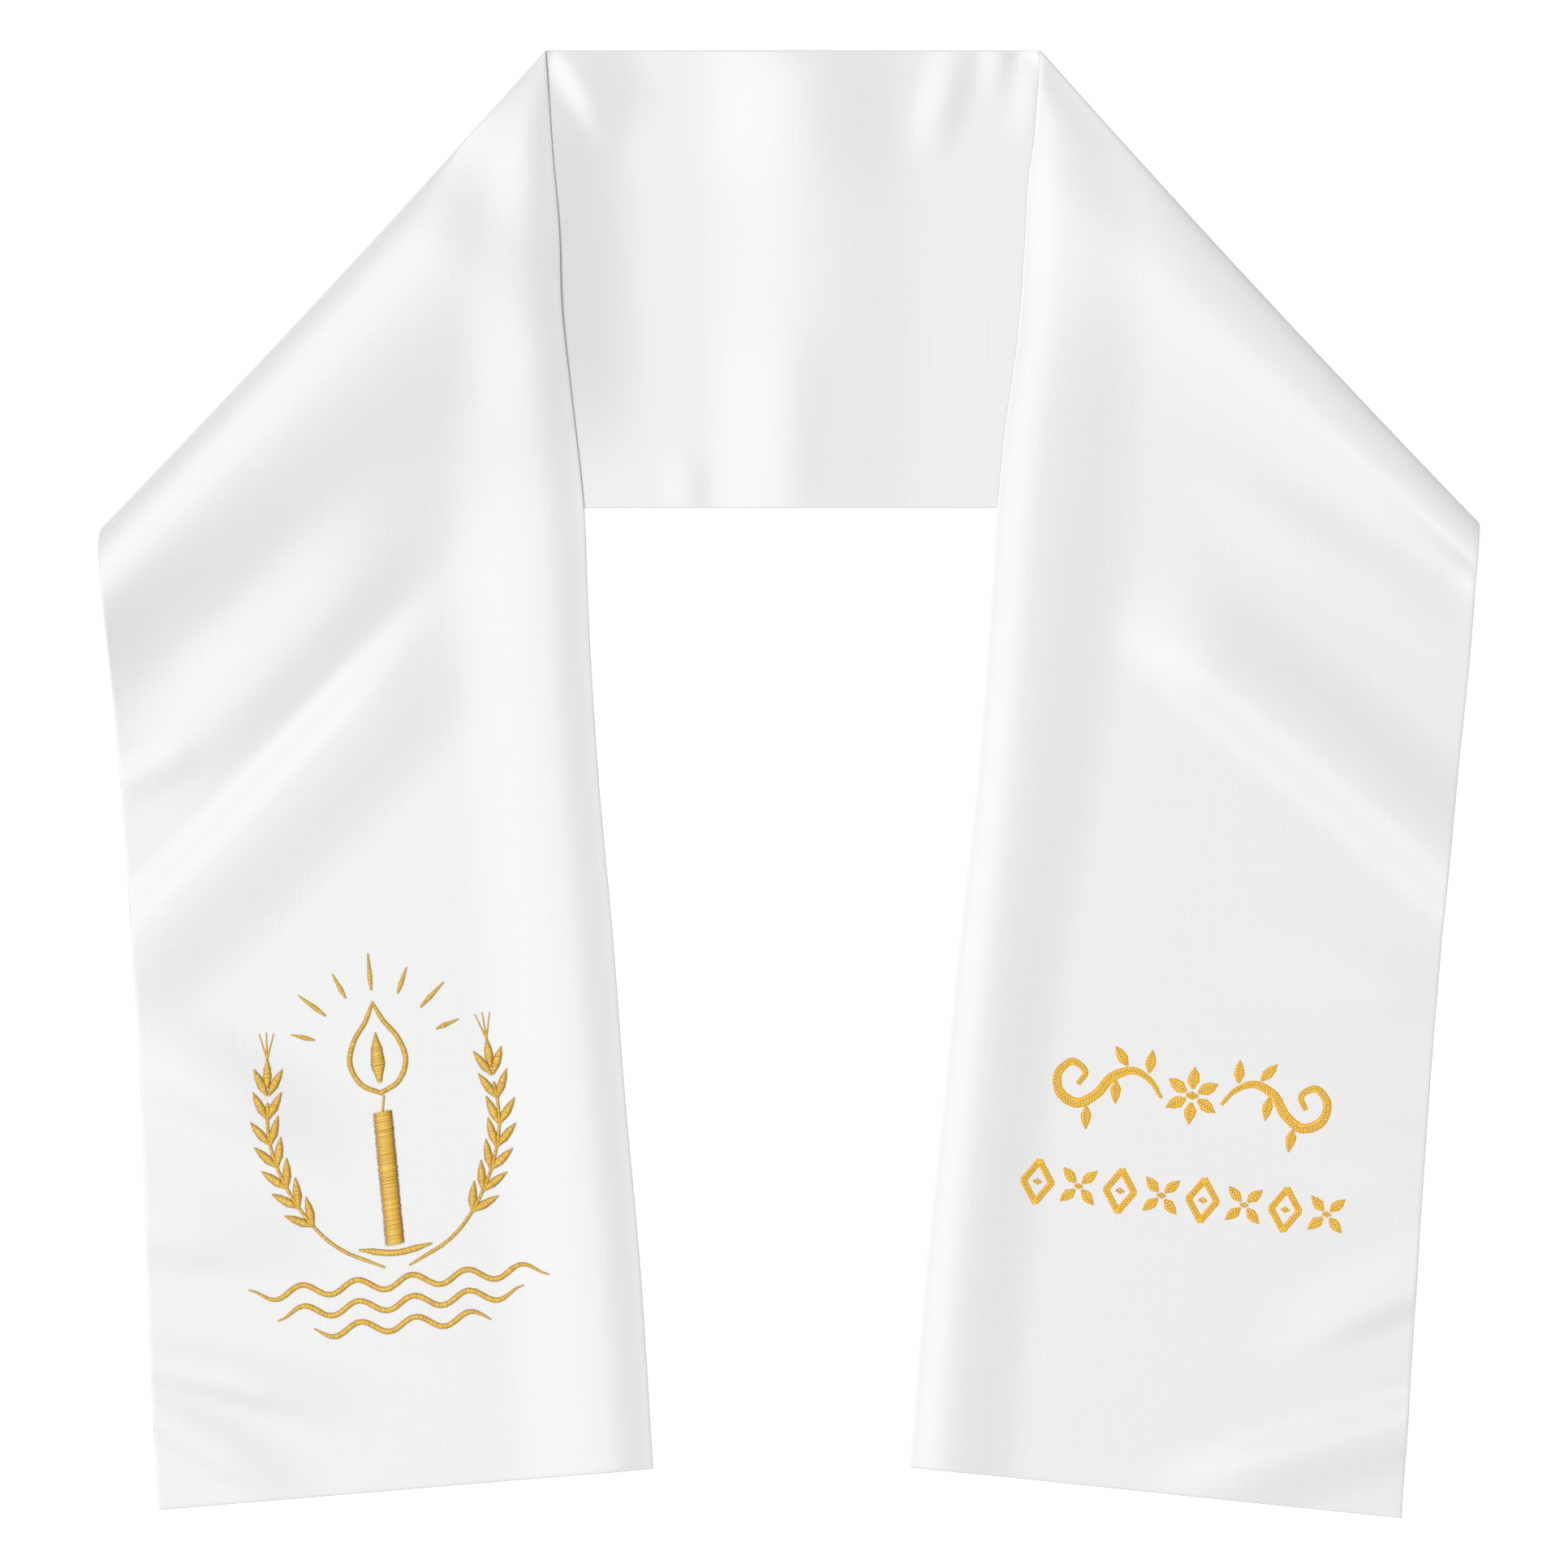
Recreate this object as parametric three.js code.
// A baptism stole laid out flat: one long strip of white satin, folded down over itself at both shoulders.
// Millimetres. X runs to the right, Y towards the back of the neck, Z up from the surface it lies on.

import * as THREE from 'three';

// Cloth and its edges
const WALL = 1.0;
const SEAM_GAP = 0.3;
const LAYER_GAP = 0.5;

// Cloth turning over at a shoulder: how far it goes past the back's end, how high its widest place
// lies, and how it comes down behind the fold's highest line.
const FOLD_DEPTH = 4.5;
const FOLD_WIDEST = 2.0;
const FOLD_STARTS_SWOLLEN = 0.05;
const FOLD_CLOSES_OVER = 90;
const HIGHER_WINS = 4;
const CREASES_START_OVER = 10;
const FOLD_BOW = 1.0;

// Back of the neck, the bottom layer
const BACK_TOP = 225.6;
const BACK_BOTTOM = 84.5;
const BACK_SHOWS_TO = 70;
const STEP_DOWN_STARTS = 2;
const STEP_DOWN_ENDS = 46;

// How finely each stretch is divided
const BACK_ROWS = 16;
const BACK_COLUMNS = 60;
const FRONT_ROWS = 44;
const FRONT_COLUMNS = 24;
const FOLD_ROWS = 12;
const NECK_LINE_PARTS = 240;
const COLUMNS_CLOSER_AT_NECK = 1.25;
const BOW_DIES_AWAY = 6;

const SATIN = { color: 0xf6f6f4, roughness: 0.42, metalness: 0 };

// Each shoulder, with points as [x, y]: two points of the folded edge, how low the back's corner
// hangs under the front, how high the fold swells above its widest place and by which share of its
// length, how far in its highest line runs and how soon it sinks behind that line, both at the neck
// and at the outer corner, and the front's two long edges down to the hem.
const SHOULDERS = {
  left: {
    turn: -1,
    foldTop: [-79.3, 221.1],
    foldLow: [-200.3, 91.1],
    lowCorner: 78.7,
    loft: 5.3,
    swellsBy: 0.25,
    crest: [22, 13],
    fall: [60, 21],
    neckEdge: [
      [-72.2, 186.0], [-71.0, 172.4], [-70.1, 146.9], [-67.0, 118.0], [-63.4, 84.9], [-62.1, 53.6],
      [-59.1, 3.6], [-54.6, -46.4], [-50.8, -96.4], [-46.3, -146.4], [-42.1, -211.4],
    ],
    outerEdge: [
      [-210.0, 41.1], [-206.6, 3.6], [-203.8, -33.9], [-200.6, -83.9], [-198.6, -133.9],
      [-196.8, -183.9], [-194.6, -224.1],
    ],
  },
  right: {
    turn: 1,
    foldTop: [81.2, 221.1],
    foldLow: [201.9, 91.1],
    lowCorner: 80.2,
    loft: 1.8,
    swellsBy: 0.35,
    crest: [20, 8],
    fall: [28, 5],
    neckEdge: [
      [73.3, 186.0], [72.2, 166.1], [69.9, 136.1], [66.0, 108.0], [63.8, 84.6], [61.7, 53.6],
      [57.9, 3.6], [52.4, -46.4], [47.4, -96.4], [42.2, -146.4], [36.9, -210.9],
    ],
    outerEdge: [
      [209.7, 41.1], [205.9, 3.6], [202.2, -33.9], [197.9, -83.9], [194.4, -133.9],
      [191.2, -183.9], [188.4, -226.6],
    ],
  },
};

// Soft roll along each front's neck edge, by height y down the front. edge is the share of the
// roll's height that the very edge keeps. The roll lies level across the lip, climbs to the crest
// and has sunk again at the reach, all measured in from the edge.
const ROLL_CLIMBS_EARLY = 0.8;
const NECK_ROLLS = {
  left: [
    { y: 226, height: 0.2, edge: 0.2, lip: 0.5, crest: 2, reach: 5 },
    { y: 215, height: 0.5, edge: 0.2, lip: 1, crest: 4.5, reach: 9 },
    { y: 200, height: 0.6, edge: 0.2, lip: 2, crest: 7.5, reach: 16 },
    { y: 170, height: 0.6, edge: 0.35, lip: 2.5, crest: 10, reach: 26 },
    { y: 140, height: 0.8, edge: 0.35, lip: 2, crest: 11, reach: 34 },
    { y: 110, height: 1.2, edge: 0.35, lip: 1, crest: 12, reach: 42 },
    { y: 60, height: 1.4, edge: 0.35, lip: 0, crest: 12, reach: 44 },
    { y: -60, height: 1.5, edge: 0.35, lip: 0, crest: 12, reach: 44 },
    { y: -228, height: 1.5, edge: 0.35, lip: 0, crest: 12, reach: 45 },
  ],
  right: [
    { y: 226, height: 0.2, edge: 0.1, lip: 0, crest: 2, reach: 5 },
    { y: 218, height: 0.4, edge: 0.2, lip: 0, crest: 4, reach: 12 },
    { y: 205, height: 0.7, edge: 0.3, lip: 0, crest: 7, reach: 24 },
    { y: 180, height: 1.0, edge: 0.35, lip: 1, crest: 10, reach: 34 },
    { y: 150, height: 1.2, edge: 0.45, lip: 1, crest: 12, reach: 42 },
    { y: 90, height: 1.5, edge: 0.45, lip: 0.5, crest: 11, reach: 46 },
    { y: 20, height: 1.6, edge: 0.5, lip: 0.5, crest: 10.5, reach: 42 },
    { y: -60, height: 1.5, edge: 0.5, lip: 0.5, crest: 10, reach: 36 },
    { y: -228, height: 1.4, edge: 0.5, lip: 0.5, crest: 10, reach: 35 },
  ],
};

// Folds that stand up from the cloth: from one end to the other, bowed sideways by bow, with
// leftSlope and rightSlope as the widths of the two flanks, seen along the fold. fade is the
// length over which a fold dies away at each end.
const RIDGE_SHARPNESS = 1.2;
const RIDGES = {
  back: [
    { from: [6, 245], to: [3, 50], bow: 2, leftSlope: 38, rightSlope: 34, height: 1.2, fade: 30 },
    { from: [1, 250], to: [1, 170], bow: 0, leftSlope: 36, rightSlope: 34, height: 1.1, fade: 36 },
    { from: [-2, 156], to: [-3, 60], bow: 0, leftSlope: 18, rightSlope: 24, height: 0.6, fade: 40 },
    { from: [-84, 240], to: [-75, 84], bow: 0, leftSlope: 32, rightSlope: 34, height: 2.6, fade: 56 },
  ],
  left: [
    { from: [-208, -8], to: [-104, 96], bow: -3, leftSlope: 26, rightSlope: 20, height: 1.5, fade: 52 },
    { from: [-235, -79], to: [-100, 58], bow: -2, leftSlope: 14, rightSlope: 32, height: 1.9, fade: 50 },
    { from: [-226, -72], to: [-132, -117], bow: 0, leftSlope: 24, rightSlope: 16, height: 1.5, fade: 50 },
    { from: [-240, -134], to: [-140, -143], bow: 0, leftSlope: 24, rightSlope: 15, height: 1.1, fade: 48 },
    { from: [-240, -170], to: [-125, -194], bow: 0, leftSlope: 14, rightSlope: 10, height: 1.1, fade: 48 },
    { from: [-232, -173], to: [-144, -226], bow: 0, leftSlope: 9, rightSlope: 11, height: 1.2, fade: 38 },
  ],
  right: [
    { from: [116, 99], to: [225, 38], bow: 0, leftSlope: 16, rightSlope: 16, height: 0.7, fade: 50 },
    { from: [100, 57], to: [252, -70], bow: 3, leftSlope: 30, rightSlope: 17, height: 2.2, fade: 40 },
    { from: [130, -54], to: [236, -73], bow: 0, leftSlope: 18, rightSlope: 14, height: 0.8, fade: 60 },
    { from: [230, -140], to: [144, -178], bow: 0, leftSlope: 9, rightSlope: 20, height: 0.9, fade: 42 },
    { from: [248, -180], to: [104, -221], bow: 0, leftSlope: 19, rightSlope: 11, height: 1.5, fade: 50 },
  ],
};

const mix = (from, to, share) => from + (to - from) * share;
const mixPoint = (from, to, share) => from.map((value, axis) => mix(value, to[axis], share));

// Rises from 0 to 1 with a level start and end.
const ease = (share) => 0.5 - 0.5 * Math.cos(Math.PI * Math.min(Math.max(share, 0), 1));

// Angle of the cloth round a shoulder's turn, 0 being the back's side.
const angleAt = (row) => (Math.PI * row) / FOLD_ROWS;

// The row of a table at height y, mixed from its two neighbours. Rows run down from high to low y.
function rowAt(table, y) {
  const last = table.length - 1;
  const found = table.findIndex((row) => row.y <= y);
  const lowPlace = found < 0 ? last : found;
  const high = table[Math.max(found < 0 ? last : found - 1, 0)];
  const low = table[lowPlace];
  const share = high.y === low.y ? 0 : (y - low.y) / (high.y - low.y);
  return Object.fromEntries(Object.keys(low).map((name) => [name, mix(low[name], high[name], share)]));
}

function ridgeHeight(ridge, x, y) {
  const run = [0, 1].map((axis) => ridge.to[axis] - ridge.from[axis]);
  const length = Math.hypot(...run);
  const along = run.map((value) => value / length);
  const away = [x - ridge.from[0], y - ridge.from[1]];
  const share = (away[0] * along[0] + away[1] * along[1]) / length;
  if (share <= 0 || share >= 1) return 0;
  const leftward = away[1] * along[0] - away[0] * along[1] - ridge.bow * Math.sin(Math.PI * share);
  const slope = leftward > 0 ? ridge.leftSlope : ridge.rightSlope;
  const taper = ease((Math.min(share, 1 - share) * length) / ridge.fade);
  return ridge.height * taper * ease(1 - Math.abs(leftward) / slope) ** RIDGE_SHARPNESS;
}

const ridgesHeight = (ridges, x, y) => ridges.reduce((sum, ridge) => sum + ridgeHeight(ridge, x, y), 0);

// The line where the cloth leaves the surface to turn over at a shoulder, and its directions.
// share runs from the neck to the outer corner, row round the turn from the back's side to the
// highest line. Deeper turns carry the cloth further along the fold.
function shoulderFold(shoulder) {
  const drop = [0, 1].map((axis) => shoulder.foldLow[axis] - shoulder.foldTop[axis]);
  const along = drop.map((value) => value / Math.hypot(...drop));
  const outward = [-shoulder.turn * along[1], shoulder.turn * along[0]];
  const reach = shoulder.foldTop[0] * outward[0] + shoulder.foldTop[1] * outward[1] - FOLD_DEPTH;
  const xAt = (y) => (reach - y * outward[1]) / outward[0];
  const start = [xAt(BACK_TOP), BACK_TOP];
  const end = [xAt(shoulder.lowCorner), shoulder.lowCorner];
  const pointAt = (share, inset = 0) => {
    const bow = inset + FOLD_BOW * 4 * share * (1 - share);
    return [0, 1].map((axis) => mix(start[axis], end[axis], share) - outward[axis] * bow);
  };
  const swellAt = (share) => {
    const grown = ease(share / shoulder.swellsBy);
    return shoulder.loft * mix(FOLD_STARTS_SWOLLEN, 1, grown);
  };
  const offsetAt = (share, row, inset) => {
    const angle = angleAt(row);
    const depth = angle > Math.PI / 2 ? mix(...shoulder.crest, share) : FOLD_DEPTH;
    return FOLD_DEPTH - inset - (depth - inset) * (1 - Math.sin(angle));
  };
  const middleHeightAt = (share, row) => {
    const angle = angleAt(row);
    const rise = angle > Math.PI / 2 ? swellAt(share) : FOLD_WIDEST - WALL / 2;
    return FOLD_WIDEST - rise * Math.cos(angle);
  };
  const slips = [0, 1].map((share) => {
    const middle = (row) => [offsetAt(share, row, WALL / 2), middleHeightAt(share, row)];
    const girth = [0];
    for (let row = 1; row <= FOLD_ROWS; row += 1) {
      const [from, to] = [middle(row - 1), middle(row)];
      girth.push(girth[row - 1] + Math.hypot(to[0] - from[0], to[1] - from[1]));
    }
    return girth.map((length) => (length * along[0]) / outward[0]);
  });
  const turnedFlat = (share, row, inset) => {
    const slip = mix(slips[0][row], slips[1][row], share);
    const offset = offsetAt(share, row, inset);
    return pointAt(share).map((value, axis) => value + outward[axis] * offset + along[axis] * slip);
  };
  const insideOf = (x, y) => reach + FOLD_DEPTH - x * outward[0] - y * outward[1];

  // Height that the front's underside keeps over a point behind the highest line.
  const hollowAt = (x, y) => {
    const [first, last] = slips.map((slip) => slip[FOLD_ROWS]);
    const length = Math.hypot(end[0] - start[0], end[1] - start[1]);
    const run = (x - start[0]) * along[0] + (y - start[1]) * along[1];
    const share = Math.min(Math.max((run - first) / (length + last - first), 0), 1);
    const fromCrest = Math.max(insideOf(x, y) - mix(...shoulder.crest, share), 0);
    const fall = mix(...shoulder.fall, share);
    const kept = ease(1 - fromCrest / FOLD_CLOSES_OVER) / (1 + (fromCrest / fall) ** 2);
    return (FOLD_WIDEST + swellAt(share) - WALL / 2) * kept;
  };
  return { outward, end, pointAt, turnedFlat, insideOf, hollowAt };
}

const folds = { left: shoulderFold(SHOULDERS.left), right: shoulderFold(SHOULDERS.right) };

// A front's long edges from the highest line of its fold down to the hem.
function edgeCurve(start, points) {
  const flat = [start, ...points].map(([x, y]) => new THREE.Vector3(x, y, 0));
  return new THREE.CatmullRomCurve3(flat, false, 'centripetal');
}

function frontEdges(name) {
  const [neckStart, outerStart] = [0, 1].map((share) => folds[name].turnedFlat(share, FOLD_ROWS, 0));
  const neck = edgeCurve(neckStart, SHOULDERS[name].neckEdge);
  const outer = edgeCurve(outerStart, SHOULDERS[name].outerEdge);
  return { neck, outer, neckLine: neck.getSpacedPoints(NECK_LINE_PARTS).map(({ x, y }) => ({ x, y })) };
}

const edges = { left: frontEdges('left'), right: frontEdges('right') };

// Lower edge of the back, which hangs a little lower where the fronts cover it.
function backBottom(x) {
  const end = (x < 0 ? folds.left : folds.right).end;
  const hidden = (Math.abs(x) - BACK_SHOWS_TO) / (Math.abs(end[0]) - BACK_SHOWS_TO);
  return mix(BACK_BOTTOM, end[1], ease(hidden));
}

// Turns two grids of points, one for each face of the cloth, into one closed body.
function clothBody(upper, lower) {
  const rows = upper.length;
  const columns = upper[0].length;
  const positions = [...upper.flat(), ...lower.flat()].flat();
  const top = (row, column) => row * columns + column;
  const under = (row, column) => rows * columns + top(row, column);
  const faces = [];
  const quad = (a, b, c, d) => faces.push(a, b, c, a, c, d);
  for (let row = 0; row + 1 < rows; row += 1) {
    for (let column = 0; column + 1 < columns; column += 1) {
      quad(top(row, column), top(row + 1, column), top(row + 1, column + 1), top(row, column + 1));
      quad(under(row, column), under(row, column + 1), under(row + 1, column + 1), under(row + 1, column));
    }
    quad(top(row, 0), under(row, 0), under(row + 1, 0), top(row + 1, 0));
    const last = columns - 1;
    quad(top(row, last), top(row + 1, last), under(row + 1, last), under(row, last));
  }
  for (let column = 0; column + 1 < columns; column += 1) {
    quad(top(0, column), top(0, column + 1), under(0, column + 1), under(0, column));
    const last = rows - 1;
    quad(top(last, column), under(last, column), under(last, column + 1), top(last, column + 1));
  }
  const geometry = new THREE.BufferGeometry();
  geometry.setAttribute('position', new THREE.Float32BufferAttribute(positions, 3));
  geometry.setIndex(faces);
  geometry.computeVertexNormals();
  return geometry;
}

// Back of the neck: lies on the surface between the two shoulder folds.
function backNeck() {
  const upper = [];
  const lower = [];
  for (let row = 0; row <= BACK_ROWS; row += 1) {
    const down = row / BACK_ROWS;
    const leftEnd = folds.left.pointAt(down, SEAM_GAP);
    const rightEnd = folds.right.pointAt(down, SEAM_GAP);
    const points = [];
    for (let column = 0; column <= BACK_COLUMNS; column += 1) {
      const across = column / BACK_COLUMNS;
      const [x, y] = mixPoint(leftEnd, rightEnd, across);
      const corner = mixPoint(folds.left.end, folds.right.end, across);
      points.push([x, y + down * down * (backBottom(corner[0]) - corner[1])]);
    }
    lower.push(points.map(([x, y]) => [x, y, ridgesHeight(RIDGES.back, x, y)]));
    upper.push(points.map(([x, y]) => [x, y, WALL + ridgesHeight(RIDGES.back, x, y)]));
  }
  return clothBody(upper, lower);
}

// How far in from its neck edge a point of a front is.
function fromNeckEdge(name, x, y) {
  const { x: edgeX } = rowAt(edges[name].neckLine, Math.min(y, edges[name].neckLine[0].y));
  return Math.abs(x - edgeX);
}

// Underside of a smooth front: over the fold's hollow or, where that is lower, on the back, and
// from the back's lower edge down its step to the surface.
function smoothUnderside(name, x, y) {
  const hollow = folds[name].hollowAt(x, y);
  const stepTop = backBottom(x) - STEP_DOWN_STARTS;
  const step = ease(1 - (stepTop - y) / (STEP_DOWN_ENDS - STEP_DOWN_STARTS));
  const onBack = (WALL + LAYER_GAP + ridgesHeight(RIDGES.back, x, y)) * step;
  return (hollow ** HIGHER_WINS + onBack ** HIGHER_WINS) ** (1 / HIGHER_WINS);
}

// What stands up from a smooth front: its rolled neck edge and its folds.
function relief(name, x, y) {
  const roll = rowAt(NECK_ROLLS[name], y);
  const inFromEdge = fromNeckEdge(name, x, y);
  const climb = ease((inFromEdge - roll.lip) / (roll.crest - roll.lip)) ** ROLL_CLIMBS_EARLY;
  const falling = ease(1 - (inFromEdge - roll.crest) / (roll.reach - roll.crest));
  const rolled = roll.height * mix(roll.edge, 1, climb) * falling;
  const shown = ease(folds[name].insideOf(x, y) / CREASES_START_OVER);
  return (rolled + ridgesHeight(RIDGES[name], x, y)) * shown;
}

// A point of the cloth turning over, inset by so much from its outer face.
function turned(name, share, row, inset) {
  const [x, y] = folds[name].turnedFlat(share, row, inset);
  const widest = FOLD_WIDEST + ridgesHeight(RIDGES.back, x, y);
  const angle = angleAt(row);
  if (angle <= Math.PI / 2) return [x, y, widest - (FOLD_WIDEST - inset) * Math.cos(angle)];
  const top = smoothUnderside(name, x, y) + WALL - inset;
  return [x, y, widest - (top - widest) * Math.cos(angle) + relief(name, x, y)];
}

// A front: the roll of cloth over the shoulder, and the panel that comes down from it.
function front(name) {
  const { outward } = folds[name];
  const { neck, outer } = edges[name];
  const across = Array.from(
    { length: FRONT_COLUMNS + 1 },
    (_, column) => (column / FRONT_COLUMNS) ** COLUMNS_CLOSER_AT_NECK,
  );
  const upper = [];
  const lower = [];
  for (let row = 0; row <= FOLD_ROWS; row += 1) {
    upper.push(across.map((share) => turned(name, share, row, 0)));
    lower.push(across.map((share) => turned(name, share, row, WALL)));
  }
  for (let row = 1; row <= FRONT_ROWS; row += 1) {
    const down = row / FRONT_ROWS;
    const ends = [neck.getPointAt(down).toArray(), outer.getPointAt(down).toArray()];
    const points = across.map((share) => {
      const bow = FOLD_BOW * 4 * share * (1 - share) * (1 - down) ** BOW_DIES_AWAY;
      const [x, y] = [0, 1].map((axis) => mix(ends[0][axis], ends[1][axis], share) - outward[axis] * bow);
      return [x, y, smoothUnderside(name, x, y) + relief(name, x, y)];
    });
    lower.push(points);
    upper.push(points.map(([x, y, z]) => [x, y, z + WALL]));
  }
  if (SHOULDERS[name].turn > 0) return clothBody(upper, lower);
  return clothBody(upper.map((row) => [...row].reverse()), lower.map((row) => [...row].reverse()));
}

const stole = new THREE.Group();
stole.name = 'baptism_stole';

const stretches = { back_neck: backNeck(), left_front: front('left'), right_front: front('right') };
Object.entries(stretches).forEach(([name, geometry]) => {
  const mesh = new THREE.Mesh(geometry, new THREE.MeshStandardMaterial(SATIN));
  mesh.name = name;
  stole.add(mesh);
});

export default stole;
